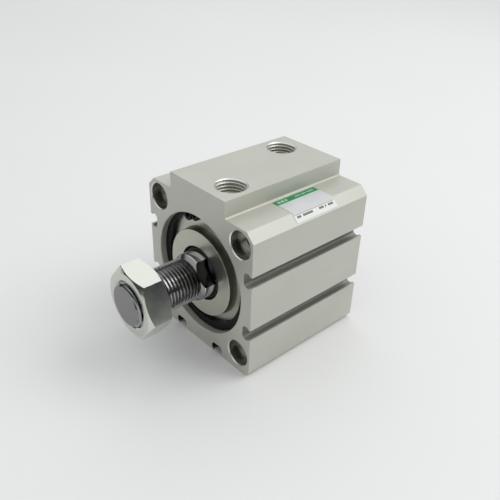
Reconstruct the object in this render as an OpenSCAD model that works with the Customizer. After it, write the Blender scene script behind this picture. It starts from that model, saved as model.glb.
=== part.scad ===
// Compact pneumatic cylinder, 50 mm bore and 20 mm stroke, double acting.
// A square extruded body with a port block on top holds a rod cover and a head
// cover, each kept in by a retaining ring. The piston rod ends in a male thread
// with a hexagon nut.
//
// Frame: the origin is where the rod axis meets the front mounting face. +Y runs
// back along the body, the rod points towards -Y, and +Z is up, through the ports.

/* [Body] */
// Width of the body, and twice the height of its top above the rod axis
body_w = 64; // [62:0.5:70]
// Depth of the underside below the rod axis
base_h = 33.5; // [32:0.5:34]
// Width of the raised block that carries the ports
block_w = 33; // [30:0.5:34]
// Height of the port block above the body
block_h = 7; // [6:0.5:9]
// Cut across the two upper long edges
top_cut = 3.6; // [2:0.1:4]
// Radius of the two lower long edges
base_r = 3.5; // [2:0.1:4]
// Fillet between the body's top and the port block
step_r = 1; // [0.5:0.1:1.5]

/* [Bore] */
// Diameter of the bore that the piston runs in
bore_d = 50; // [49.8:0.1:50.2]
// Travel of the piston between the two covers
stroke = 20; // [5:5:50]
// Diameter of the wider seats that hold the covers at both ends
seat_d = 52; // [51:0.1:52.4]
// Diameter of the retaining ring grooves
groove_d = 55; // [54:0.1:55.4]
// Thickness of a retaining ring
ring_t = 2; // [1.6:0.1:2]

/* [Rod] */
// Diameter of the piston rod
rod_d = 20; // [20:0.1:20]
// Outer diameter of the rod thread
thread_d = 18; // [18:0.1:18]
// Distance from the front mounting face to the tip of the rod, rod in
rod_out = 33.8; // [30:0.1:40]
// Length of the threaded part
thread_l = 28.9; // [24:0.1:29]
// Width across the two wrench flats
flats_w = 17; // [16.5:0.1:18]
// Direction that the first wrench flat faces, up from +X
flats_angle = 32; // [0:1:90]

/* [Rod nut] */
// Width across the flats of the nut
nut_w = 26.4; // [24:0.1:27]
// Thickness of the nut
nut_h = 10.3; // [9:0.1:11]
// Distance from the rod tip back to the nut's outer face
nut_back = 1.5; // [0.5:0.1:2]
// Turn of the nut: the direction of one corner, up from +X
nut_angle = 52; // [0:1:60]

/* [Mounting holes] */
// Spacing of the four mounting holes, both ways
bolt_pitch = 50; // [49:0.5:51]
// Diameter of the through holes
bolt_d = 6.8; // [6.6:0.1:6.9]
// Diameter of the counterbores at both ends
counterbore_d = 11; // [10.5:0.1:11.5]
// Depth of each counterbore
counterbore_l = 6; // [5:0.5:10]

/* [Air ports] */
// Thread diameter of the two ports
port_d = 13.16; // [13:0.02:13.2]
// Depth of the port thread
port_l = 9.7; // [8:0.1:10]
// Distance of each port from its end of the body
port_inset = 10.5; // [10:0.1:11]
// Sideways offset of the ports, one to each side
port_x = 7.6; // [6:0.1:8]

/* [Sensor slots] */
// Distance of each slot from the middle of its side
slot_offset = 12.1; // [11:0.1:12.5]
// Width of the slot's mouth
slot_mouth = 4.8; // [4.4:0.1:5]
// Width of the slot below its lips
slot_w = 6.3; // [6:0.1:6.6]
// Depth of the slot
slot_depth = 4.4; // [4.2:0.1:4.5]
// Thickness of the lips
slot_lip = 1.5; // [1.2:0.1:2]
// Radius in the two inner corners of the slot
slot_corner = 1.8; // [0.5:0.1:2]

/* [Hidden] */
$fn = 96;

half = body_w / 2;
bore_r = bore_d / 2;
rod_r = rod_d / 2;
thread_r = thread_d / 2;
seat_r = seat_d / 2;
groove_r = groove_d / 2;
eps = 0.5;                              // how far a cutter runs past the face it opens

// Fits
cover_gap = 0.05;                       // between a cover and its seat
run_gap = 0.03;                         // radial clearance of the rod in its bush
wear_gap = 0.05;                        // radial clearance of the wear ring in the bore
side_gap = 0.1;                         // on each side of a ring in a piston groove
nut_gap = 0.05;                         // radial clearance of the nut on the thread
end_gap = 0.3;                          // left between the bumpers and a cover at each end

// Front end, distances from the front face
mouth_cut = 0.3;                        // chamfer at the mouths of the bore
front_ring_y = 2.9;                     // outer side of the front retaining ring
boss_y = 0.9;                           // outer face of the rod cover's boss
flange_y = front_ring_y + ring_t;       // face of the rod cover under the ring
flange_l = 4.5;                         // length of the flange that a cover sits by
front_seat_end = flange_y + flange_l + cover_gap;
front_o_ring_y = flange_y + flange_l / 2;
rod_cover_end = 15.5;

// Piston
piston_l = 12.8;
bumper_proud = 0.8;                     // how far a bumper stands out of the piston
bumper_t = 1.8;
chamber_l = piston_l + 2 * bumper_proud + 2 * end_gap + stroke;

// Rear end
head_y = rod_cover_end + chamber_l;     // front face of the head cover
head_neck_l = 3.1;                      // narrower part ahead of its flange
rear_lip = 1.9;                         // left behind the rear retaining ring
head_flange_y = head_y + head_neck_l;
rear_seat_y = head_flange_y - cover_gap;
rear_o_ring_y = head_flange_y + flange_l / 2;
rear_ring_y = head_flange_y + flange_l; // inner side of the rear retaining ring
body_l = rear_ring_y + ring_t + rear_lip;
piston_y = head_y - end_gap - bumper_proud - piston_l;

// Piston grooves, distances from the piston's front face
wear_groove = [1, 2.4, 1.4];            // start, width and depth
magnet_groove = [4.4, 2.8, 4.2];
seal_groove = [8.2, 3.4, 4.4];
piston_r = bore_r - 0.35;
web_t = 8;                              // thickness of the piston around the spigot
recess_r = 11;                          // room for the screw and washer
spigot_r = 7;
o_ring_r = 1.15;                        // half the thickness of a cover's gasket
cover_neck_r = 23;                      // radius of the covers inside the bore
bumper_in = 15;                         // inner and outer radius of a bumper
bumper_out = 18.5;
gasket_r = 0.75;                        // half the thickness of the rod's gasket
gasket_seat_r = 9;
screw_r = 5;
screw_head_r = 8;
screw_head_h = 3.4;
screw_l = 18;                           // length of the screw in the rod
spigot_short = 0.2;                     // so that the screw clamps the piston, not the rod
washer_t = 1.2;

// Rod seal and bush
seal_y = 2.2;
seal_end = 8.2;
seal_seat_r = 14;
rod_mouth_r = 11.7;
bush_y = 9;
bush_r = 12;
rod_hole_r = rod_r + 0.4;               // through the wall between the two

// Rod end
shoulder_y = thread_l - rod_out;        // where the thread meets the rod
shoulder_cut = 1;
flats_y = -9.3;                         // outer and inner ends of the wrench flats
flats_end = 1.6;
tip_cut = 1;

hole_cut = 0.4;                         // chamfer at the mouths of the mounting holes
port_drill_r = 5.5;
port_drill_l = 11.4;
passage_r = 2;

// Label on the right shoulder
label_t = 0.15;
label_y = 22.2;
label_l = 22.3;
label_x = 18;
label_fold = 3;                         // how far it reaches down the cut edge

// ---- Helpers ----

// Turns a shape about +Z into one about +Y, starting at y.
module along_y(y) {
    translate([0, y, 0]) rotate([-90, 0, 0]) children();
}

// Solid round bar along the rod axis.
module bar(r, y0, y1) {
    along_y(y0) cylinder(r = r, h = y1 - y0);
}

// Cone or chamfer along the rod axis.
module taper(r0, r1, y0, y1) {
    along_y(y0) cylinder(r1 = r0, r2 = r1, h = y1 - y0);
}

// Ring with square edges around the rod axis.
module ring(r_out, r_in, y0, y1) {
    difference() {
        bar(r_out, y0, y1);
        bar(r_in, y0 - eps, y1 + eps);
    }
}

// Ring of round section around the rod axis.
module o_ring(r_mid, r_section, y) {
    along_y(y) rotate_extrude() translate([r_mid, 0]) circle(r = r_section, $fn = 32);
}

// Extrudes a front view, drawn as x and z, from y0 to y1.
module slab(y0, y1) {
    translate([0, y1, 0]) rotate([90, 0, 0]) linear_extrude(y1 - y0) children();
}

// Places a shape at each corner of the mounting pattern.
module at_bolts() {
    for (x = [-1, 1], z = [-1, 1]) translate([x * bolt_pitch / 2, 0, z * bolt_pitch / 2]) children();
}

// ---- Body ----

module body_outline() {
    polygon([
        [-half + base_r, -base_h], [half - base_r, -base_h], [half, -base_h + base_r],
        [half, half - top_cut], [half - top_cut, half], [block_w / 2, half],
        [block_w / 2, half + block_h], [-block_w / 2, half + block_h], [-block_w / 2, half],
        [-half + top_cut, half], [-half, half - top_cut], [-half, -base_h + base_r]
    ]);
    for (side = [-1, 1]) {
        translate([side * (half - base_r), -base_h + base_r]) circle(r = base_r, $fn = 48);
        scale([side, 1]) step_fillet();
    }
}

// Concave corner where the port block rises from the body.
module step_fillet() {
    difference() {
        translate([block_w / 2 - eps, half - eps]) square(step_r + eps);
        translate([block_w / 2 + step_r, half + step_r]) circle(r = step_r, $fn = 48);
    }
}

// One sensor slot, opening towards +X at the given height.
module slot_outline(z) {
    floor_w = slot_w - 2 * slot_corner;
    translate([half - slot_depth, z]) {
        translate([slot_corner, -slot_mouth / 2]) square([slot_depth, slot_mouth]);
        translate([slot_corner, -slot_w / 2]) square([slot_depth - slot_lip - slot_corner, slot_w]);
        translate([0, -floor_w / 2]) square([slot_depth, floor_w]);
        for (dz = [-1, 1]) translate([slot_corner, dz * floor_w / 2]) circle(r = slot_corner, $fn = 32);
    }
}

module all_slots() {
    for (offset = [-slot_offset, slot_offset]) {
        slot_outline(offset);
        rotate(180) slot_outline(offset);
        translate([0, half - base_h]) rotate(270) slot_outline(offset);
    }
}

module port(x, y) {
    top = half + block_h;
    passage_z = bore_r - 3;
    drill_z = top - port_drill_l;
    translate([x, y, top - port_l]) cylinder(r = port_d / 2, h = port_l + eps);
    translate([x, y, drill_z]) cylinder(r = port_drill_r, h = port_drill_l);
    translate([x, y, passage_z]) cylinder(r = passage_r, h = drill_z - passage_z + eps, $fn = 48);
}

// Through hole with a counterbore at each end, its mouth chamfered.
module bolt_hole() {
    r = counterbore_d / 2;
    wide = r + hole_cut + eps;
    bar(bolt_d / 2, -eps, body_l + eps);
    bar(r, -eps, counterbore_l);
    bar(r, body_l - counterbore_l, body_l + eps);
    taper(wide, r, -eps, hole_cut);
    taper(r, wide, body_l - hole_cut, body_l + eps);
}

module cylinder_tube() {
    color("#b4b6ae") difference() {
        slab(0, body_l) difference() {
            body_outline();
            all_slots();
        }
        bar(bore_r, -eps, body_l + eps);
        bar(seat_r, -eps, front_seat_end);
        bar(seat_r, rear_seat_y, body_l + eps);
        bar(groove_r, front_ring_y, front_ring_y + ring_t);
        bar(groove_r, rear_ring_y, rear_ring_y + ring_t);
        taper(seat_r + mouth_cut + eps, seat_r, -eps, mouth_cut);
        taper(seat_r, seat_r + mouth_cut + eps, body_l - mouth_cut, body_l + eps);
        at_bolts() bolt_hole();
        port(port_x, port_inset);
        port(-port_x, body_l - port_inset);
    }
}

// ---- Rod end ----

module rod_cover() {
    boss_r = 18.7;
    boss_base_r = 19;
    color("#a9a999") difference() {
        union() {
            taper(boss_r, boss_base_r, boss_y, flange_y);
            bar(seat_r - cover_gap, flange_y, flange_y + flange_l);
            bar(cover_neck_r, flange_y + flange_l, rod_cover_end);
        }
        bar(rod_mouth_r, boss_y - eps, seal_y);
        bar(seal_seat_r, seal_y, seal_end);
        bar(rod_hole_r, seal_end - eps, rod_cover_end + eps);
        bar(bush_r, bush_y, rod_cover_end + eps);
        o_ring_groove(front_o_ring_y);
    }
}

// Groove around a cover for its gasket.
module o_ring_groove(y) {
    ring(seat_r + eps, seat_r - 2 * o_ring_r, y - o_ring_r, y + o_ring_r);
}

module rod_cover_gasket() {
    color("#1c1c1c") o_ring(seat_r - o_ring_r, o_ring_r, front_o_ring_y);
}

// Rod seal with a wiper lip that leans out of the cover.
module rod_seal() {
    color("#1a1a1a") along_y(seal_y) rotate_extrude() polygon([
        [rod_r + run_gap, -0.5], [rod_r + 0.5, -0.9], [rod_mouth_r - 0.3, 0.4], [seal_seat_r, 0.4],
        [seal_seat_r, seal_end - seal_y], [rod_r + 2.4, seal_end - seal_y], [rod_r + 2, 3.6],
        [rod_r + 1.6, 3.6], [rod_r + 0.7, 5.4], [rod_r + run_gap, 5], [rod_r + 0.6, 2.4]
    ]);
}

module rod_bush() {
    color("#7d7466") ring(bush_r, rod_r + run_gap, bush_y, rod_cover_end);
}

// Internal retaining ring, drawn with its gap at the top. It thins towards the
// gap, where two lugs are drilled for pliers.
module snap_ring_outline() {
    inner_r = groove_r - 5;
    thin_r = groove_r - 7.8;
    thin_shift = 5;
    lug_r = 2.7;
    lug_centre = groove_r - 3.3;
    lug_offset = 2.3;
    hole_r = 1.1;
    hole_centre = lug_centre - 0.2;
    gap = 0.9;
    intersection() {
        circle(r = groove_r);
        difference() {
            union() {
                difference() {
                    circle(r = groove_r + eps);
                    circle(r = inner_r);
                    translate([0, thin_shift]) circle(r = thin_r);
                }
                for (side = [-1, 1])
                    translate([side * lug_offset, lug_centre]) circle(r = lug_r, $fn = 48);
            }
            translate([-gap / 2, 0]) square([gap, groove_d]);
            for (side = [-1, 1])
                translate([side * lug_offset, hole_centre]) circle(r = hole_r, $fn = 32);
        }
    }
}

module front_snap_ring() {
    turn = 19;
    color("#1d1e20") slab(front_ring_y, front_ring_y + ring_t) rotate(turn) snap_ring_outline();
}

// ---- Head end ----

module head_cover() {
    dish_r = 15;
    dish_depth = 1.5;
    recess_depth = 0.6;
    color("#a9a999") difference() {
        union() {
            bar(cover_neck_r, head_y, head_flange_y);
            bar(seat_r - cover_gap, head_flange_y, rear_ring_y);
        }
        bar(dish_r, rear_ring_y - dish_depth, rear_ring_y + eps);
        bar(recess_r, head_y - eps, head_y + recess_depth);
        o_ring_groove(rear_o_ring_y);
    }
}

module head_cover_gasket() {
    color("#1c1c1c") o_ring(seat_r - o_ring_r, o_ring_r, rear_o_ring_y);
}

module rear_snap_ring() {
    color("#1d1e20") slab(rear_ring_y, rear_ring_y + ring_t) snap_ring_outline();
}

// Thin label that lies on the right shoulder and folds down the cut edge.
module label() {
    fold = label_t * tan(22.5);
    edge = half - top_cut;
    lift = label_t / sqrt(2);
    color("#d9dbd8") slab(label_y, label_y + label_l) polygon([
        [label_x, half], [edge, half],
        [edge + label_fold, half - label_fold],
        [edge + label_fold + lift, half - label_fold + lift],
        [edge + fold, half + label_t], [label_x, half + label_t]
    ]);
}

// ---- Piston ----

// Groove around the piston: start, width and depth.
module piston_groove(g) {
    ring(piston_r + eps, piston_r - g[2], piston_y + g[0], piston_y + g[0] + g[1]);
}

module piston() {
    bumper_seat = bumper_t - bumper_proud;
    end = piston_y + piston_l;
    color("#b9bab6") difference() {
        bar(piston_r, piston_y, end);
        piston_groove(wear_groove);
        piston_groove(magnet_groove);
        piston_groove(seal_groove);
        bar(spigot_r, piston_y - eps, end);
        bar(gasket_seat_r, piston_y - eps, piston_y + 2 * gasket_r);
        bar(recess_r, piston_y + web_t, end + eps);
        ring(bumper_out, bumper_in, piston_y - eps, piston_y + bumper_seat);
        ring(bumper_out, bumper_in, end - bumper_seat, end + eps);
    }
}

module front_bumper() {
    start = piston_y - bumper_proud;
    color("#c8a24a") ring(bumper_out, bumper_in, start, start + bumper_t);
}

module rear_bumper() {
    start = piston_y + piston_l + bumper_proud - bumper_t;
    color("#c8a24a") ring(bumper_out, bumper_in, start, start + bumper_t);
}

module wear_ring() {
    start = piston_y + wear_groove[0] + side_gap;
    end = piston_y + wear_groove[0] + wear_groove[1] - side_gap;
    r_in = piston_r - wear_groove[2] + wear_gap;
    color("#6b5a43") ring(bore_r - wear_gap, r_in, start, end);
}

// Piston seal: a ring with a lip on each side of a shallow valley.
module piston_seal() {
    w = seal_groove[1];
    r_in = piston_r - seal_groove[2] + wear_gap;
    r_out = bore_r - wear_gap;
    lip = 0.9;
    color("#202020") along_y(piston_y + seal_groove[0]) rotate_extrude() polygon([
        [r_in, side_gap], [r_out - lip, side_gap], [r_out, 0.5], [r_out, lip], [r_out - 0.6, w / 2],
        [r_out, w - lip], [r_out, w - 0.5], [r_out - lip, w - side_gap], [r_in, w - side_gap]
    ]);
}

module piston_magnet() {
    start = piston_y + magnet_groove[0];
    color("#3b3a3c") ring(piston_r - 0.5, piston_r - magnet_groove[2], start, start + magnet_groove[1]);
}

module piston_rod_gasket() {
    color("#1c1c1c") o_ring(spigot_r + gasket_r, gasket_r, piston_y + gasket_r);
}

module piston_washer() {
    color("#9a9b9d") ring(recess_r - 1, screw_r, piston_y + web_t, piston_y + web_t + washer_t);
}

module piston_screw() {
    head_y0 = piston_y + web_t + washer_t;
    socket_r = 3.5;
    color("#2a2b2d") difference() {
        union() {
            bar(screw_r, head_y0 - screw_l, head_y0);
            bar(screw_head_r, head_y0, head_y0 + screw_head_h);
        }
        along_y(head_y0 + 1) cylinder(r = socket_r, h = screw_head_h, $fn = 6);
    }
}

// ---- Rod ----

// Two flats for a wrench, cut through the end of the rod and the first threads.
module wrench_flats() {
    size = [rod_r, flats_end - flats_y, rod_d + 2 * eps];
    for (turn = [flats_angle, flats_angle + 180])
        rotate([0, -turn, 0]) translate([flats_w / 2, flats_y, -size[2] / 2]) cube(size);
}

module piston_rod() {
    screw_hole_l = screw_l + 3;
    color("#5b5d60") difference() {
        union() {
            bar(spigot_r, piston_y, piston_y + web_t - spigot_short);
            bar(rod_r, shoulder_y + shoulder_cut, piston_y);
            taper(thread_r, rod_r, shoulder_y, shoulder_y + shoulder_cut);
            bar(thread_r, -rod_out + tip_cut, shoulder_y);
            taper(thread_r - tip_cut, thread_r, -rod_out, -rod_out + tip_cut);
        }
        wrench_flats();
        bar(screw_r, piston_y + web_t - screw_hole_l, piston_y + web_t + eps);
    }
}

// ---- Nut ----

// Hexagon nut with its corners turned off at both faces.
module rod_nut() {
    y0 = -rod_out + nut_back;
    y1 = y0 + nut_h;
    face_r = nut_w / 2 - 0.4;
    cone_r = face_r + nut_h / tan(30);
    bore = thread_r + nut_gap;
    bore_cut = 0.85;
    color("#c9cbc8") difference() {
        intersection() {
            along_y(y0) rotate(-nut_angle) cylinder(r = nut_w / sqrt(3), h = nut_h, $fn = 6);
            taper(face_r, cone_r, y0, y1);
            taper(cone_r, face_r, y0, y1);
        }
        bar(bore, y0 - eps, y1 + eps);
        taper(bore + bore_cut + eps, bore, y0 - eps, y0 + bore_cut);
        taper(bore, bore + bore_cut + eps, y1 - bore_cut, y1 + eps);
    }
}

cylinder_tube();
rod_cover();
rod_bush();
rod_seal();
rod_cover_gasket();
front_snap_ring();
head_cover();
head_cover_gasket();
rear_snap_ring();
label();
piston_seal();
wear_ring();
piston_rod();
piston();
piston_magnet();
piston_rod_gasket();
piston_washer();
piston_screw();
front_bumper();
rear_bumper();
rod_nut();
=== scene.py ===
"""A compact pneumatic cylinder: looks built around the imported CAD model.

The CAD nodes stay, with rounded edges and procedural materials. The piston rod is rebuilt here
with its thread and the label with its fold, and the nut and the ports get their threads.
Units are metres; MM turns millimetres into metres.
"""
import math

import bmesh
import bpy
from mathutils import Matrix, Vector


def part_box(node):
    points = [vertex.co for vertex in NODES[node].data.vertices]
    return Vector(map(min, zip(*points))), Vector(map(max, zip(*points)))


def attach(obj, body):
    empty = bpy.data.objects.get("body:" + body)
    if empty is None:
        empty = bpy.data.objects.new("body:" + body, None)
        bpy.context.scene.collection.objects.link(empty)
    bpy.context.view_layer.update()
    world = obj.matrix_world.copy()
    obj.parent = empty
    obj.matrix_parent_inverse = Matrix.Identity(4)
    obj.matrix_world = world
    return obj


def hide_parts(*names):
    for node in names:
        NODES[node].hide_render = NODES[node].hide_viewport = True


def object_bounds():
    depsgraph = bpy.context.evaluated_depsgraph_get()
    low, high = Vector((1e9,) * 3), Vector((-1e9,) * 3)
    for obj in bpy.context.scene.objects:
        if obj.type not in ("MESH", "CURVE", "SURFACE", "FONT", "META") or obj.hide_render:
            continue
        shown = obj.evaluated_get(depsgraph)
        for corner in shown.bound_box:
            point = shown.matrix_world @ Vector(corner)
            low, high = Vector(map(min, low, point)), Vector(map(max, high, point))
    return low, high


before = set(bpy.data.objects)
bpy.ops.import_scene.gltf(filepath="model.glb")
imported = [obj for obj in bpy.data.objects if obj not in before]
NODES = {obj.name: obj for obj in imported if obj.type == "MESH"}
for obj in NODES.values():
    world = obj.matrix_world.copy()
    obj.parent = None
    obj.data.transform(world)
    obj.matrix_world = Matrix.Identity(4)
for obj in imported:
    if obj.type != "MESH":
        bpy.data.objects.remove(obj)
cad_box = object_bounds()

MM = 0.001
TINY = 0.002 * MM                    # vertices this close are one

# ---- Sizes that the CAD boxes don't give ----

THREAD_R = 9 * MM                    # rod thread, M18 x 1.5
THREAD_PITCH = 1.5 * MM
THREAD_DEPTH = 0.92 * MM
THREAD_L = 28.9 * MM
RUN_OUT = 0.6 * THREAD_PITCH         # length over which the thread fades at the shoulder
TIP_CUT = 1 * MM                     # chamfers at the tip and at the shoulder
SHOULDER_CUT = 1 * MM
FLATS_W = 17 * MM                    # wrench flats: across them, their turn and their two ends
FLATS_ANGLE = math.radians(32)
FLATS_Y = (-9.3 * MM, 1.6 * MM)
SPIGOT_R = 7 * MM                    # spigot that carries the piston
SPIGOT_L = 7.8 * MM
SCREW_R = 5 * MM                     # screw hole in the spigot
SCREW_HOLE_L = 20.8 * MM
SCREW_CONE_L = 2 * MM
NUT_BORE_R = 9.05 * MM
NUT_MOUTH_R = 9.9 * MM
NUT_CREST_R = 8.2 * MM               # least radius of the nut's thread
PORT_R = 6.58 * MM                   # port thread, 19 threads to the inch
PORT_PITCH = 25.4 / 19 * MM
PORT_DEPTH = 0.86 * MM
PORT_TAPER = 1 / 32                  # radius lost for each unit of depth
PORT_MOUTH_L = 0.9 * MM              # depth of the countersink
PORT_L = 9.7 * MM
PORT_X = 7.6 * MM                    # from the middle of the block
PORT_INSET = 10.5 * MM               # from the end of the tube
BOLT_X = 25 * MM                     # mounting holes, both ways from the rod axis
COUNTERBORE_R = 5.5 * MM
SLOT_OFFSET = 12.1 * MM              # middles of the sensor slots, from the rod axis
EDGE_CUT = 3.6 * MM                  # cut along the upper edges of the tube
LABEL_T = 0.15 * MM                  # thickness of the CAD label

# Local Z to +Y, still right-handed
ALONG_Y = Matrix(((0, 1, 0, 0), (0, 0, 1, 0), (1, 0, 0, 0), (0, 0, 0, 1)))


# ---- Small mesh tools ----

def smooth(mesh, angle=35):
    """Smooth faces, with sharp edges over an angle in degrees."""
    mesh.shade_smooth()
    mesh.set_sharp_from_angle(angle=math.radians(angle))


def new_object(name, bm, smooth_angle=35):
    """Turns a bmesh into an object with smooth faces and sharp edges over an angle."""
    bmesh.ops.recalc_face_normals(bm, faces=bm.faces)
    mesh = bpy.data.meshes.new(name)
    bm.to_mesh(mesh)
    bm.free()
    obj = bpy.data.objects.new(name, mesh)
    bpy.context.scene.collection.objects.link(obj)
    smooth(mesh, smooth_angle)
    return obj


def place(obj, matrix):
    """Moves the mesh itself, so that the object stays at the origin."""
    obj.data.transform(matrix)
    return obj


def cut(obj, tools):
    """Takes the shapes of the tools out of the object for good, and deletes the tools."""
    for tool in tools:
        boolean = obj.modifiers.new("cut", "BOOLEAN")
        boolean.operation = "DIFFERENCE"
        boolean.solver = "EXACT"
        boolean.object = tool
    graph = bpy.context.evaluated_depsgraph_get()
    done = bpy.data.meshes.new_from_object(obj.evaluated_get(graph))
    obj.modifiers.clear()
    obj.data = done
    for tool in tools:
        bpy.data.objects.remove(tool)


def soften(obj, width):
    """Rounds a CAD node's edges with modifiers only, where its faces turn by over 28 degrees."""
    weld = obj.modifiers.new("weld", "WELD")
    weld.merge_threshold = TINY
    bevel = obj.modifiers.new("bevel", "BEVEL")
    bevel.width = width
    bevel.segments = 3
    bevel.limit_method = "ANGLE"
    bevel.angle_limit = math.radians(28)
    bevel.use_clamp_overlap = True
    bevel.harden_normals = False
    normals = obj.modifiers.new("normals", "WEIGHTED_NORMAL")
    normals.keep_sharp = False
    normals.weight = 80


# ---- Threads ----

def thread_cut(turn):
    """Depth of a 60 degree thread from 0 at the crest to 1 at the root; turn counts pitches."""
    across = abs(turn - round(turn)) * 2
    return min(max((across - 0.125) / 0.625, 0), 1)


# Where the profile bends or turns within one pitch
THREAD_STOPS = (0, 0.0625, 0.22, 0.375, 0.5, 0.625, 0.78, 0.9375)


def hold(value, low, high, reach):
    """Keeps a value between two ends and pulls it onto an end that is within reach."""
    if value < low + reach:
        return low
    return high if value > high - reach else value


def helical_grid(bm, pitch, low, high, radius, segments):
    """Vertices on a right-handed helical surface about +Z from low to high.

    radius(z, turn) gives the radius. Columns past an end are held at it, and the
    doubled vertices there are merged by the caller. Returns the columns.
    """
    first = math.floor(low / pitch) - 2
    last = math.ceil(high / pitch) + 2
    reach = 0.02 * MM
    columns = []
    for i in range(segments):
        angle = 2 * math.pi * i / segments
        column = []
        for k in range(first, last):
            for stop in THREAD_STOPS:
                z = hold((k + stop + i / segments) * pitch, low, high, reach)
                r = radius(z, z / pitch - i / segments)
                column.append(bm.verts.new((r * math.cos(angle), r * math.sin(angle), z)))
        columns.append(column)
    return columns


def helical_faces(bm, columns):
    """Joins the columns with faces; the last meets the first one pitch further on."""
    count = len(columns)
    step = len(THREAD_STOPS)
    for i in range(count):
        here, there = columns[i], columns[(i + 1) % count]
        shift = step if i == count - 1 else 0
        for j in range(len(here) - 1):
            if j + 1 + shift < len(there):
                bm.faces.new((here[j], there[j + shift], there[j + 1 + shift], here[j + 1]))


def join_rings(bm, ring, following):
    """Faces between two rings of vertices."""
    for i in range(len(ring)):
        j = (i + 1) % len(ring)
        bm.faces.new((ring[i], ring[j], following[j], following[i]))


def lathe_rings(bm, outline, ring):
    """Carries a ring of vertices on along an outline of (radius, z), and returns the last ring."""
    for r, z in outline:
        following = []
        for i in range(len(ring)):
            angle = 2 * math.pi * i / len(ring)
            following.append(bm.verts.new((r * math.cos(angle), r * math.sin(angle), z)))
        join_rings(bm, ring, following)
        ring = following
    return ring


def close_ring(bm, ring, z):
    """Closes a ring of vertices with a fan to the point at height z on the axis."""
    centre = bm.verts.new((0, 0, z))
    for i in range(len(ring)):
        bm.faces.new((ring[i], ring[(i + 1) % len(ring)], centre))


def clean(bm):
    """Merges doubled vertices and drops the faces that this collapses."""
    bmesh.ops.remove_doubles(bm, verts=bm.verts, dist=TINY)
    bmesh.ops.dissolve_degenerate(bm, edges=bm.edges, dist=TINY / 2)
    loose = [v for v in bm.verts if not v.link_faces]
    bmesh.ops.delete(bm, geom=loose, context="VERTS")


def ring_at(bm, z):
    """The vertices at height z in order of angle."""
    found = [v for v in bm.verts if abs(v.co.z - z) < TINY / 2]
    return sorted(found, key=lambda v: math.atan2(v.co.y, v.co.x) % (2 * math.pi))


# ---- Pieces ----

def make_rod():
    """Piston rod: helical thread, shoulder, polished shank and the spigot for the piston."""
    box_low, box_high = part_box("piston_rod")
    tip, back = box_low[1], box_high[1]
    rod_r = box_high[0]
    shoulder = tip + THREAD_L

    def radius(z, turn):
        run_out = min(max((shoulder - z) / RUN_OUT, 0), 1)
        threaded = THREAD_R - THREAD_DEPTH * thread_cut(turn) * run_out
        return min(threaded, THREAD_R - TIP_CUT + (z - tip))

    bm = bmesh.new()
    helical_faces(bm, helical_grid(bm, THREAD_PITCH, tip, shoulder, radius, segments=160))
    clean(bm)
    front, rear = ring_at(bm, tip), ring_at(bm, shoulder)
    face_r = THREAD_R - TIP_CUT - 0.4 * MM
    close_ring(bm, lathe_rings(bm, [(face_r, tip)], front), tip)
    shank, seat = shoulder + SHOULDER_CUT, back - SPIGOT_L
    hole_end = back - SCREW_HOLE_L
    edge = 0.15 * MM
    hole = lathe_rings(bm, [
        (rod_r - edge, shank - edge), (rod_r, shank + 2 * edge),
        (rod_r, seat - edge), (rod_r - edge, seat), (SPIGOT_R, seat),
        (SPIGOT_R, back - edge), (SPIGOT_R - edge, back), (SCREW_R, back),
        (SCREW_R, hole_end),
    ], rear)
    close_ring(bm, hole, hole_end - SCREW_CONE_L)
    rod = place(new_object("piston_rod_turned", bm), ALONG_Y)
    cut(rod, [flat_cutter(FLATS_ANGLE + turn) for turn in (0, math.pi)])
    smooth(rod.data)
    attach(rod, "rod")
    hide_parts("piston_rod")
    return rod


def flat_cutter(angle):
    """A block that mills one wrench flat; angle is the way the flat faces, up from +X."""
    bm = bmesh.new()
    bmesh.ops.create_cube(bm, size=1)
    low, high = FLATS_Y
    depth, width = 4 * MM, 30 * MM
    size = Matrix.Diagonal((depth, high - low, width, 1))
    spot = Matrix.Translation((FLATS_W / 2 + depth / 2, (low + high) / 2, 0))
    turn = Matrix.Rotation(-angle, 4, "Y")
    bm.transform(turn @ spot @ size)
    return new_object("flat_cutter", bm)


def threaded_sleeve(name, low, high, outer_r, pitch, radius):
    """A closed sleeve about +Z whose inside is a thread."""
    bm = bmesh.new()
    helical_faces(bm, helical_grid(bm, pitch, low, high, radius, segments=128))
    clean(bm)
    bottom, top = ring_at(bm, low), ring_at(bm, high)
    wall = lathe_rings(bm, [(outer_r, low), (outer_r, high)], bottom)
    join_rings(bm, wall, top)
    return new_object(name, bm)


def make_nut_thread():
    """Thread inside the nut, in step with the thread on the rod."""
    box_low, box_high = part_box("rod_nut")
    mouth = NUT_MOUTH_R - NUT_BORE_R
    low, high = box_low[1] + mouth, box_high[1] - mouth
    outer_r = NUT_BORE_R + 0.1 * MM

    def radius(z, turn):
        threaded = max(NUT_BORE_R - THREAD_DEPTH * thread_cut(turn), NUT_CREST_R)
        from_face = min(z - box_low[1], box_high[1] - z)
        return min(max(threaded, NUT_MOUTH_R - from_face), NUT_BORE_R)

    sleeve = threaded_sleeve("rod_nut_thread", low, high, outer_r, THREAD_PITCH, radius)
    place(sleeve, ALONG_Y)
    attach(sleeve, "nut")
    return sleeve


def make_port_thread(name, x, y):
    """Taper thread inside an air port, with a countersink at its mouth."""
    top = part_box("cylinder_tube")[1][2]
    low, high = top - PORT_L, top - 0.05 * MM
    outer_r = PORT_R + 0.08 * MM

    def radius(z, turn):
        depth = top - z
        threaded = PORT_R - depth * PORT_TAPER - PORT_DEPTH * (1 - thread_cut(turn + 0.5))
        return max(threaded, PORT_R - depth)

    sleeve = threaded_sleeve(name, low, high, outer_r, PORT_PITCH, radius)
    place(sleeve, Matrix.Translation((x, y, 0)))
    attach(sleeve, "cylinder")
    return sleeve


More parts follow.
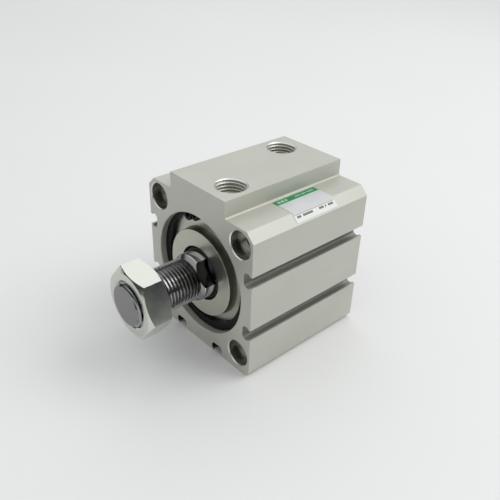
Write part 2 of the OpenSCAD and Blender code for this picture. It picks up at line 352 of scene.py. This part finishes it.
def make_label():
    """Label sheet that lies on the shoulder and folds over the cut edge with a small radius."""
    box_low, box_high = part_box("label")
    tube_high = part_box("cylinder_tube")[1]
    lift, thick = 0.02 * MM, 0.11 * MM
    fold, bend_r = math.radians(45), 0.8 * MM
    bend_steps, along = 8, 12
    top_z = box_high[2] - LABEL_T
    fold_x = tube_high[0] - EDGE_CUT
    tangent = bend_r * math.tan(fold / 2)
    centre_x, centre_z = fold_x - tangent, top_z - bend_r
    path = [(box_low[0], top_z)]
    for step in range(bend_steps + 1):
        slope = fold * step / bend_steps
        path.append((centre_x + bend_r * math.sin(slope), centre_z + bend_r * math.cos(slope)))
    down = (box_high[0] - fold_x) / math.cos(fold) - tangent
    path.append((path[-1][0] + down * math.cos(fold), path[-1][1] - down * math.sin(fold)))
    bm = bmesh.new()
    sheets = []
    for level in (lift, lift + thick):
        grid = []
        for index, (x, z) in enumerate(path):
            slope = fold * min(max((index - 1) / bend_steps, 0), 1)
            spot_x, spot_z = x + level * math.sin(slope), z + level * math.cos(slope)
            row = []
            for step in range(along + 1):
                y = box_low[1] + (box_high[1] - box_low[1]) * step / along
                row.append(bm.verts.new((spot_x, y, spot_z)))
            grid.append(row)
        sheets.append(grid)
    for grid in sheets:
        for a in range(len(path) - 1):
            for b in range(along):
                bm.faces.new((grid[a][b], grid[a + 1][b], grid[a + 1][b + 1], grid[a][b + 1]))
    under, over = sheets
    for b in range(along):
        bm.faces.new((under[0][b], under[0][b + 1], over[0][b + 1], over[0][b]))
        bm.faces.new((under[-1][b], under[-1][b + 1], over[-1][b + 1], over[-1][b]))
    for a in range(len(path) - 1):
        bm.faces.new((under[a][0], under[a + 1][0], over[a + 1][0], over[a][0]))
        bm.faces.new((under[a][-1], under[a + 1][-1], over[a + 1][-1], over[a][-1]))
    label = new_object("label_sheet", bm, smooth_angle=60)
    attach(label, "cylinder")
    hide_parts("label")
    return label


# ---- Material tools ----

class Paint:
    """A material whose nodes are made one call at a time."""

    def __init__(self, name, **inputs):
        self.material = bpy.data.materials.new(name)
        self.material.use_nodes = True
        self.tree = self.material.node_tree
        self.shader = self.tree.nodes["Principled BSDF"]
        for key, value in inputs.items():
            self.shader.inputs[key.replace("_", " ")].default_value = value
        self.object_space = self.add("ShaderNodeTexCoord").outputs["Object"]

    def add(self, kind, **settings):
        """A new node with its settings."""
        node = self.tree.nodes.new(kind)
        for key, value in settings.items():
            setattr(node, key, value)
        return node

    def feed(self, socket, value):
        """Links a socket, or sets it where value is a plain number or colour."""
        if isinstance(value, bpy.types.NodeSocket):
            self.tree.links.new(value, socket)
        else:
            socket.default_value = value

    def math(self, operation, a, b=0.0):
        """The result of a sum or a function on two values."""
        node = self.add("ShaderNodeMath", operation=operation)
        self.feed(node.inputs[0], a)
        self.feed(node.inputs[1], b)
        return node.outputs[0]

    def stretched(self, x, y, z):
        """Object coordinates scaled along each axis, in features per millimetre."""
        node = self.add("ShaderNodeMapping")
        self.feed(node.inputs["Vector"], self.object_space)
        node.inputs["Scale"].default_value = (x / MM, y / MM, z / MM)
        return node.outputs["Vector"]

    def noise(self, x, y=None, z=None, detail=3, roughness=0.5):
        """Noise from 0 to 1; x, y and z are features per millimetre along each axis."""
        node = self.add("ShaderNodeTexNoise")
        self.feed(node.inputs["Vector"], self.stretched(x, y or x, z or y or x))
        node.inputs["Scale"].default_value = 1
        node.inputs["Detail"].default_value = detail
        node.inputs["Roughness"].default_value = roughness
        return node.outputs["Fac"]

    def spread(self, value, low, high, to_low=0.0, to_high=1.0):
        """Maps low..high to to_low..to_high and holds it there."""
        node = self.add("ShaderNodeMapRange", clamp=True)
        self.feed(node.inputs["Value"], value)
        for name, number in (("From Min", low), ("From Max", high),
                             ("To Min", to_low), ("To Max", to_high)):
            self.feed(node.inputs[name], number)
        return node.outputs["Result"]

    def blend(self, amount, a, b):
        """Colour a where amount is 0 and b where it is 1."""
        node = self.add("ShaderNodeMix", data_type="RGBA")
        self.feed(node.inputs["Factor"], amount)
        self.feed(node.inputs["A"], a if isinstance(a, bpy.types.NodeSocket) else (*a, 1))
        self.feed(node.inputs["B"], b if isinstance(b, bpy.types.NodeSocket) else (*b, 1))
        return node.outputs["Result"]

    def split(self, vector):
        """The x, y and z of a vector."""
        node = self.add("ShaderNodeSeparateXYZ")
        self.feed(node.inputs[0], vector)
        return node.outputs

    def length(self, a, b):
        """Length of the flat vector (a, b)."""
        squares = self.math("ADD", self.math("MULTIPLY", a, a), self.math("MULTIPLY", b, b))
        return self.math("SQRT", squares)

    def facing(self, axis, low=0.5, high=0.8):
        """1 where the surface faces along an object axis, either way, and 0 where it doesn't."""
        normal = self.add("ShaderNodeTexCoord").outputs["Normal"]
        return self.spread(self.math("ABSOLUTE", self.split(normal)[axis]), low, high)

    def radius(self, x=0.0, z=0.0):
        """Distance from the rod axis, or from a line beside it."""
        spot = self.split(self.object_space)
        return self.length(self.math("SUBTRACT", spot[0], x), self.math("SUBTRACT", spot[2], z))

    def near(self, value, centre, reach, soft=0.05 * MM):
        """1 where a value is within reach of a centre, and 0 past a soft edge."""
        away = self.math("ABSOLUTE", self.math("SUBTRACT", value, centre))
        return self.spread(away, reach - soft, reach + soft, 1, 0)

    def waves(self, distance, per_mm, wobble):
        """Sine waves along a distance, from 0 to 1, with their spacing upset by wobble."""
        phase = self.math("MULTIPLY", distance, 2 * math.pi * per_mm / MM)
        phase = self.math("ADD", phase, self.math("MULTIPLY", self.noise(1.5), wobble))
        return self.math("ADD", self.math("MULTIPLY", self.math("SINE", phase), 0.5), 0.5)

    def bump(self, height, depth_mm, under=None):
        """Normal of a relief of the given depth, on top of another one if there is one."""
        node = self.add("ShaderNodeBump")
        self.feed(node.inputs["Height"], height)
        node.inputs["Strength"].default_value = 1
        node.inputs["Distance"].default_value = depth_mm * MM
        if under is not None:
            self.feed(node.inputs["Normal"], under)
        return node.outputs["Normal"]

    def finish(self, colour, roughness, normal=None, metallic=None):
        """Joins what is given to the shader and returns the material."""
        for name, value in (("Base Color", colour), ("Roughness", roughness),
                            ("Normal", normal), ("Metallic", metallic)):
            if value is not None:
                self.feed(self.shader.inputs[name], value)
        return self.material


def shade(colour, factor):
    """A colour made lighter or darker."""
    return tuple(min(c * factor, 1) for c in colour)


# ---- Materials ----

BODY = (0.605, 0.605, 0.542)


def in_cavity(p):
    """Masks for the mounting holes, the chamfers at their mouths and the slots; the body uses the
    hole and slot masks for painted shade.
    """
    x, _, z = p.split(p.object_space)
    side, level = p.math("ABSOLUTE", x), p.math("ABSOLUTE", z)
    away = p.length(p.math("SUBTRACT", side, BOLT_X), p.math("SUBTRACT", level, BOLT_X))
    hair, rim_w = 0.02 * MM, 0.4 * MM
    hole = p.near(away, 0, COUNTERBORE_R + hair, hair)
    rim = p.near(away, COUNTERBORE_R + 0.03 * MM + rim_w / 2, rim_w / 2, hair)
    # Painted shade in a slot: how deep its middle lies, how far it reaches from there, and its half
    # width
    middle, reach, half_w = 2.6 * MM, 2 * MM, 3.3 * MM
    under = p.math("MULTIPLY", p.near(z, cad_box[0].z + middle, reach),
                   p.near(side, SLOT_OFFSET, half_w))
    beside = p.math("MULTIPLY", p.near(side, cad_box[1].x - middle, reach),
                    p.near(level, SLOT_OFFSET, half_w))
    return hole, rim, p.math("ADD", under, p.math("MULTIPLY", beside, 0.55))


def anodised_body():
    """Clear anodised extrusion: drawing lines along it, milled ends and bare metal in its holes,
    with painted shade in the holes and slots.
    """
    p = Paint("anodised_body", IOR=1.5)
    ends = p.facing(1)
    hole, rim, slot = in_cavity(p)
    inside = p.math("SUBTRACT", 1.0, p.facing(1, 0.9, 0.95))
    rim, slot = (p.math("MULTIPLY", mask, inside) for mask in (rim, slot))
    cloud = p.noise(0.06, 0.03, 0.06, detail=4)
    grain = p.noise(6, detail=2)
    lines = p.noise(5, 0.03, 5, detail=3, roughness=0.6)
    cutter_x, cutter_z = -95 * MM, 60 * MM
    milled = p.waves(p.radius(cutter_x, cutter_z), 1.1, wobble=2)
    tone = p.blend(p.spread(cloud, 0.35, 0.65), shade(BODY, 0.96), shade(BODY, 1.03))
    tone = p.blend(p.spread(grain, 0.3, 0.7, 0, 0.25), tone, shade(BODY, 0.88))
    # Painted shade: the slots are darkened nearly to black inside
    tone = p.blend(slot, tone, shade(BODY, 0.08))
    # Painted shade: the mounting holes are painted a little darker inside
    tone = p.blend(p.math("MULTIPLY", hole, 0.85), tone, shade(BODY, 0.85))
    tone = p.blend(rim, tone, (0.85, 0.85, 0.84))
    rough = p.spread(p.math("ADD", grain, cloud), 0.7, 1.3, 0.44, 0.54)
    rough = p.math("SUBTRACT", rough, p.math("MULTIPLY", p.math("MAXIMUM", hole, rim), 0.2))
    texture = p.math("ADD", p.math("MULTIPLY", lines, p.math("SUBTRACT", 1.0, ends)),
                     p.math("MULTIPLY", p.math("MULTIPLY", milled, 0.35), ends))
    normal = p.bump(texture, 0.004, under=p.bump(grain, 0.006))
    bare = p.spread(p.math("MAXIMUM", hole, rim), 0, 1, 0.4, 1.0)
    return p.finish(tone, rough, normal, bare)


def port_metal():
    """Bare cut aluminium in the air ports, brightest on the countersink."""
    p = Paint("port_metal", Metallic=0.9)
    level = p.split(p.object_space)[2]
    grain = p.noise(6, detail=2)
    cuts = p.waves(level, 6, wobble=2)
    mouth_end = cad_box[1].z - PORT_MOUTH_L
    mouth = p.spread(level, mouth_end - 0.05 * MM, mouth_end + 0.05 * MM)
    slope = p.math("MULTIPLY", p.facing(2, 0.5, 0.6), mouth)
    tone = p.blend(p.spread(grain, 0.3, 0.7), shade(BODY, 0.95), shade(BODY, 1.05))
    tone = p.blend(slope, tone, (0.86, 0.86, 0.84))
    rough = p.spread(p.math("ADD", grain, cuts), 0.4, 1.6, 0.4, 0.5)
    return p.finish(tone, rough, p.bump(cuts, 0.003, under=p.bump(grain, 0.004)))


def turned(name, colour, roughness):
    """Lathe-turned metal: rings on the faces and round the sides."""
    p = Paint(name, Metallic=1.0, Anisotropic=0.4)
    along = p.split(p.object_space)[1]
    rings = p.waves(p.math("ADD", p.radius(), along), 3, wobble=3)
    cloud = p.noise(0.15, detail=4)
    grain = p.noise(5, detail=2)
    tone = p.blend(p.spread(cloud, 0.3, 0.7), shade(colour, 0.97), shade(colour, 1.03))
    tone = p.blend(p.spread(rings, 0, 1, 0, 0.12), tone, shade(colour, 0.7))
    rough = p.spread(p.math("ADD", grain, rings), 0.4, 1.6, roughness - 0.05, roughness + 0.06)
    normal = p.bump(rings, 0.004, under=p.bump(grain, 0.003))
    return p.finish(tone, rough, normal)


def rod_steel():
    """Dark oiled steel on the thread, a near-black painted reflection on the flats, and a polished
    plated shank around them.
    """
    p = Paint("rod_steel", Metallic=1.0)
    x, along, z = p.split(p.object_space)
    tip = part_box("piston_rod")[0][1]
    thread_end = tip + THREAD_L + SHOULDER_CUT
    shank = p.spread(along, thread_end - 0.2 * MM, thread_end)
    cloud = p.noise(0.35, detail=5, roughness=0.6)
    grain = p.noise(7, detail=2)
    rings = p.waves(p.math("ADD", p.radius(), along), 4, wobble=3)
    dark = p.blend(p.spread(cloud, 0.3, 0.7), (0.28, 0.28, 0.285), (0.36, 0.36, 0.365))
    outward = p.math("ADD", p.math("MULTIPLY", x, math.cos(FLATS_ANGLE)),
                     p.math("MULTIPLY", z, math.sin(FLATS_ANGLE)))
    # Mask of the wrench flats, painted near black: a painted dark reflection of the surroundings
    # they mirror
    flat = p.near(p.math("ABSOLUTE", outward), FLATS_W / 2, 0.03 * MM, soft=0.01 * MM)
    flat = p.math("MULTIPLY", flat, p.spread(along, FLATS_Y[0], FLATS_Y[0] + 0.05 * MM))
    end_rings = p.waves(p.radius(), 0.7, wobble=1)
    end_tone = p.blend(end_rings, (0.21, 0.20, 0.203), (0.235, 0.225, 0.227))
    dark = p.blend(p.spread(along, tip + 0.05 * MM, tip + 0.1 * MM, 1, 0), dark, end_tone)
    tone = p.blend(shank, dark, (0.62, 0.63, 0.64))
    tone = p.blend(flat, tone, (0.055, 0.055, 0.057))
    rough_dark = p.spread(p.math("ADD", grain, cloud), 0.6, 1.4, 0.13, 0.22)
    rough = p.math("ADD", p.math("MULTIPLY", rough_dark, p.math("SUBTRACT", 1.0, shank)),
                   p.math("MULTIPLY", shank, 0.14))
    normal = p.bump(rings, 0.002, under=p.bump(grain, 0.003))
    return p.finish(tone, rough, normal)


def nut_zinc():
    """Bright zinc plate: nearly white, with faint yellow and blue patches, and painted shade on its
    end faces.
    """
    p = Paint("nut_zinc", Metallic=1.0)
    patch = p.noise(0.12, detail=3)
    cloud = p.noise(0.5, detail=4)
    grain = p.noise(5, detail=3)
    tone = p.blend(p.spread(patch, 0.35, 0.65), (0.67, 0.69, 0.67), (0.70, 0.71, 0.60))
    tone = p.blend(p.spread(cloud, 0.45, 0.75, 0, 0.35), tone, (0.62, 0.66, 0.68))
    # Painted shade: the end faces along the nut's axis are painted darker and greener than the
    # facets
    tone = p.blend(p.facing(1, 0.93, 0.98), tone, (0.60, 0.62, 0.565))
    rough = p.spread(p.math("ADD", patch, grain), 0.7, 1.3, 0.13, 0.2)
    normal = p.bump(cloud, 0.0015, under=p.bump(grain, 0.002))
    return p.finish(tone, rough, normal)


def rubber(name, colour, roughness=0.5):
    """Moulded rubber: a fine uneven skin."""
    p = Paint(name)
    cloud = p.noise(0.4, detail=4)
    grain = p.noise(8, detail=2)
    tone = p.blend(p.spread(cloud, 0.3, 0.7), shade(colour, 0.75), shade(colour, 1.35))
    rough = p.spread(p.math("ADD", cloud, grain), 0.6, 1.4, roughness - 0.1, roughness + 0.12)
    return p.finish(tone, rough, p.bump(grain, 0.008))


def black_steel():
    """Stamped spring steel with a black oxide finish, a little rubbed."""
    p = Paint("black_ring_steel", Metallic=0.05, IOR=1.28)
    cloud = p.noise(0.3, detail=5, roughness=0.6)
    grain = p.noise(7, detail=3)
    tone = p.blend(p.spread(cloud, 0.4, 0.8), (0.003, 0.003, 0.003), (0.011, 0.011, 0.012))
    rough = p.spread(p.math("ADD", cloud, grain), 0.6, 1.4, 0.38, 0.6)
    return p.finish(tone, rough, p.bump(grain, 0.006))


def moulded(name, colour, roughness):
    """Plain moulded plastic with a fine grain."""
    p = Paint(name)
    cloud = p.noise(0.25, detail=4)
    grain = p.noise(4, detail=3)
    tone = p.blend(p.spread(cloud, 0.3, 0.7), shade(colour, 0.85), shade(colour, 1.15))
    rough = p.spread(grain, 0.3, 0.7, roughness - 0.08, roughness + 0.08)
    return p.finish(tone, rough, p.bump(grain, 0.006))


def label_film():
    """Silver-white film with a green stripe and plain bars in place of any words."""
    p = Paint("label_film", Metallic=0.0, Coat_Weight=0.1, Coat_Roughness=0.2)
    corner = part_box("label")[0]
    fold_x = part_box("cylinder_tube")[1][0] - EDGE_CUT
    x, y, _ = p.split(p.object_space)
    past_fold = p.math("MAXIMUM", p.math("SUBTRACT", x, fold_x), 0.0)
    across = p.math("ADD", p.math("SUBTRACT", x, corner[0]),
                    p.math("MULTIPLY", past_fold, math.sqrt(2) - 1))
    along = p.math("SUBTRACT", y, corner[1])
    stripe_end, strip_start = 3.1, 11.9

    def band(value, start, end):
        """1 between two places in millimetres, with a soft edge."""
        soft = 0.03
        rise = p.spread(value, (start - soft) * MM, (start + soft) * MM)
        fall = p.spread(value, (end - soft) * MM, (end + soft) * MM, 1, 0)
        return p.math("MULTIPLY", rise, fall)

    def bars(row, spans):
        """Bars along the label between the spans' ends, all in one row."""
        total = None
        for start, end in spans:
            one = band(along, start, end)
            total = one if total is None else p.math("MAXIMUM", total, one)
        return p.math("MULTIPLY", total, band(across, *row))

    cloud = p.noise(0.12, detail=3)
    grain = p.noise(6, detail=2)
    film = p.blend(p.spread(cloud, 0.35, 0.65), (0.62, 0.64, 0.65), (0.69, 0.70, 0.69))
    strip = p.spread(across, strip_start * MM, (strip_start + 0.05) * MM)
    film = p.blend(strip, film, (0.86, 0.87, 0.84))
    stripe = p.blend(p.spread(grain, 0.3, 0.7), (0.008, 0.24, 0.075), (0.012, 0.28, 0.095))
    pale_bars = p.math("MAXIMUM", bars((0.8, 2.2), [(1.4, 2.6), (3.1, 4.6), (5.1, 6.2)]),
                       bars((1.2, 1.8), [(10.5, 13.2), (13.8, 16.4), (17.0, 20.6)]))
    tone = p.blend(band(across, -0.5, stripe_end), film, stripe)
    tone = p.blend(p.math("MULTIPLY", pale_bars, 0.75), tone, (0.55, 0.80, 0.62))
    rule = bars((strip_start - 0.15, strip_start), [(0.9, 21.6)])
    blocks = bars((12.3, 13.2), [(1.2, 3.3), (4.3, 9.6), (13.0, 15.6), (16.3, 17.0), (18.0, 20.9)])
    ink = p.math("MAXIMUM", rule, blocks)
    tone = p.blend(p.math("MULTIPLY", ink, 0.85), tone, (0.03, 0.03, 0.035))
    rough = p.spread(grain, 0.3, 0.7, 0.34, 0.44)
    return p.finish(tone, rough, p.bump(grain, 0.002))


def floor_paper():
    """Plain pale studio surface with the faintest tooth."""
    p = Paint("floor_paper")
    cloud = p.noise(0.004, detail=3)
    grain = p.noise(2, detail=2)
    tone = p.blend(p.spread(cloud, 0.3, 0.7), (0.88, 0.88, 0.875), (0.90, 0.90, 0.895))
    return p.finish(tone, p.spread(grain, 0.3, 0.7, 0.55, 0.65))


def dress(obj, material):
    """Gives a material to every slot of an object, and a first slot where it has none."""
    if not obj.material_slots:
        obj.data.materials.append(material)
    for slot in obj.material_slots:
        slot.material = material


# ---- Stage ----

SKY = 0.78                           # strength of the light from overhead
KEY = 4.2                            # watts, from behind on the right
FILL = 1.3                           # watts, from behind on the left


def aim(obj, eye, target, roll=0.0):
    """Puts a camera or light at eye and turns it to the target."""
    look = Vector(target) - Vector(eye)
    turn = look.to_track_quat("-Z", "Y") @ Matrix.Rotation(roll, 4, "Z").to_quaternion()
    obj.location = eye
    obj.rotation_mode = "QUATERNION"
    obj.rotation_quaternion = turn


def make_camera():
    """Camera to the front right, above the body."""
    eye = Vector((160.5, -120.8, 135.0)) * MM
    azimuth, elevation, roll = math.radians(47.13), math.radians(31.59), math.radians(1.96)
    level = math.cos(elevation)
    look = Vector((-math.sin(azimuth) * level, math.cos(azimuth) * level, -math.sin(elevation)))
    data = bpy.data.cameras.new("camera")
    data.sensor_width = 36
    data.lens = 43.09
    data.clip_start = 0.01
    data.clip_end = 20
    camera = bpy.data.objects.new("camera", data)
    bpy.context.scene.collection.objects.link(camera)
    aim(camera, eye, eye + look, roll)
    bpy.context.scene.camera = camera


def make_floor(level):
    """Wide flat sheet that the body stands on."""
    bm = bmesh.new()
    bmesh.ops.create_grid(bm, x_segments=8, y_segments=8, size=3)
    floor = place(new_object("floor", bm), Matrix.Translation((0, 0, level)))
    dress(floor, floor_paper())


def area_light(name, eye, target, size, power, colour):
    """A rectangular light; size is its width and height."""
    data = bpy.data.lights.new(name, "AREA")
    data.shape = "RECTANGLE"
    data.size, data.size_y = size
    data.energy = power
    data.color = colour
    light = bpy.data.objects.new(name, data)
    bpy.context.scene.collection.objects.link(light)
    aim(light, eye, target)


def make_world():
    """Even light from above that fades towards the horizon, and a pale backdrop for the camera."""
    world = bpy.data.worlds.new("world")
    bpy.context.scene.world = world
    world.use_nodes = True
    nodes, links = world.node_tree.nodes, world.node_tree.links
    direction = nodes.new("ShaderNodeTexCoord")
    parts = nodes.new("ShaderNodeSeparateXYZ")
    links.new(direction.outputs["Generated"], parts.inputs[0])
    height = nodes.new("ShaderNodeMapRange")
    height.interpolation_type = "SMOOTHSTEP"
    for name, number in (("From Min", 0.2), ("From Max", 0.52),
                         ("To Min", 0.04), ("To Max", SKY)):
        height.inputs[name].default_value = number
    links.new(parts.outputs["Z"], height.inputs["Value"])
    backdrop = nodes.new("ShaderNodeBackground")
    backdrop.inputs["Color"].default_value = (0.62, 0.63, 0.63, 1)
    sky = nodes["Background"]
    sky.inputs["Color"].default_value = (0.97, 0.99, 1.0, 1)
    links.new(height.outputs["Result"], sky.inputs["Strength"])
    ray = nodes.new("ShaderNodeLightPath")
    pick = nodes.new("ShaderNodeMixShader")
    links.new(ray.outputs["Is Camera Ray"], pick.inputs["Fac"])
    links.new(sky.outputs[0], pick.inputs[1])
    links.new(backdrop.outputs[0], pick.inputs[2])
    links.new(pick.outputs[0], nodes["World Output"].inputs["Surface"])


def make_lights():
    """Two soft lights, high up behind the body."""
    middle = (0, 0.02, 0)
    area_light("key", (0.5, 0.58, 0.85), middle, (0.75, 0.75), KEY, (1.0, 1.0, 0.98))
    area_light("fill", (-0.64, 0.58, 0.75), middle, (1.0, 1.0), FILL, (0.98, 0.99, 1.0))


# ---- Assembly ----

make_camera()
make_floor(cad_box[0].z)
make_world()
make_lights()
scene = bpy.context.scene
scene.view_settings.view_transform = "Standard"

rod = make_rod()
nut_thread = make_nut_thread()
tube_low, tube_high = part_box("cylinder_tube")
ports = [
    make_port_thread("port_thread_rod_side", PORT_X, tube_low[1] + PORT_INSET),
    make_port_thread("port_thread_head_side", -PORT_X, tube_high[1] - PORT_INSET),
]
label = make_label()

body_paint = anodised_body()
cover_paint = turned("cover_aluminium", (0.50, 0.50, 0.43), 0.34)
black_paint = rubber("black_rubber", (0.012, 0.012, 0.013), 0.45)
ring_paint = black_steel()
zinc_paint = nut_zinc()
bumper_paint = rubber("bumper_rubber", (0.50, 0.32, 0.10))
FINISHES = {
    "cylinder_tube": body_paint,
    "rod_cover": cover_paint,
    "head_cover": cover_paint,
    "rod_bush": turned("bush_bronze", (0.46, 0.38, 0.28), 0.4),
    "rod_seal": black_paint,
    "rod_cover_gasket": black_paint,
    "head_cover_gasket": black_paint,
    "piston_seal": black_paint,
    "piston_rod_gasket": black_paint,
    "front_snap_ring": ring_paint,
    "rear_snap_ring": ring_paint,
    "wear_ring": moulded("wear_plastic", (0.14, 0.10, 0.06), 0.5),
    "piston": turned("piston_aluminium", (0.70, 0.70, 0.69), 0.3),
    "piston_magnet": moulded("bonded_magnet", (0.03, 0.03, 0.033), 0.55),
    "piston_washer": turned("washer_steel", (0.55, 0.56, 0.57), 0.3),
    "piston_screw": turned("screw_steel", (0.06, 0.06, 0.065), 0.4),
    "front_bumper": bumper_paint,
    "rear_bumper": bumper_paint,
    "rod_nut": zinc_paint,
}
for name, paint in FINISHES.items():
    dress(NODES[name], paint)
dress(rod, rod_steel())
dress(nut_thread, zinc_paint)
port_paint = port_metal()
for port in ports:
    dress(port, port_paint)
dress(label, label_film())

# Widths of the rounded edges in millimetres
EDGES = {
    "cylinder_tube": 0.25, "rod_cover": 0.2, "head_cover": 0.2, "front_snap_ring": 0.12,
    "rear_snap_ring": 0.12, "rod_nut": 0.3, "rod_seal": 0.08, "piston": 0.1, "rod_bush": 0.15,
    "piston_screw": 0.15, "piston_washer": 0.1, "front_bumper": 0.15, "rear_bumper": 0.15,
    "wear_ring": 0.1, "piston_magnet": 0.15, "piston_seal": 0.08,
}
for name, width in EDGES.items():
    soften(NODES[name], width * MM)
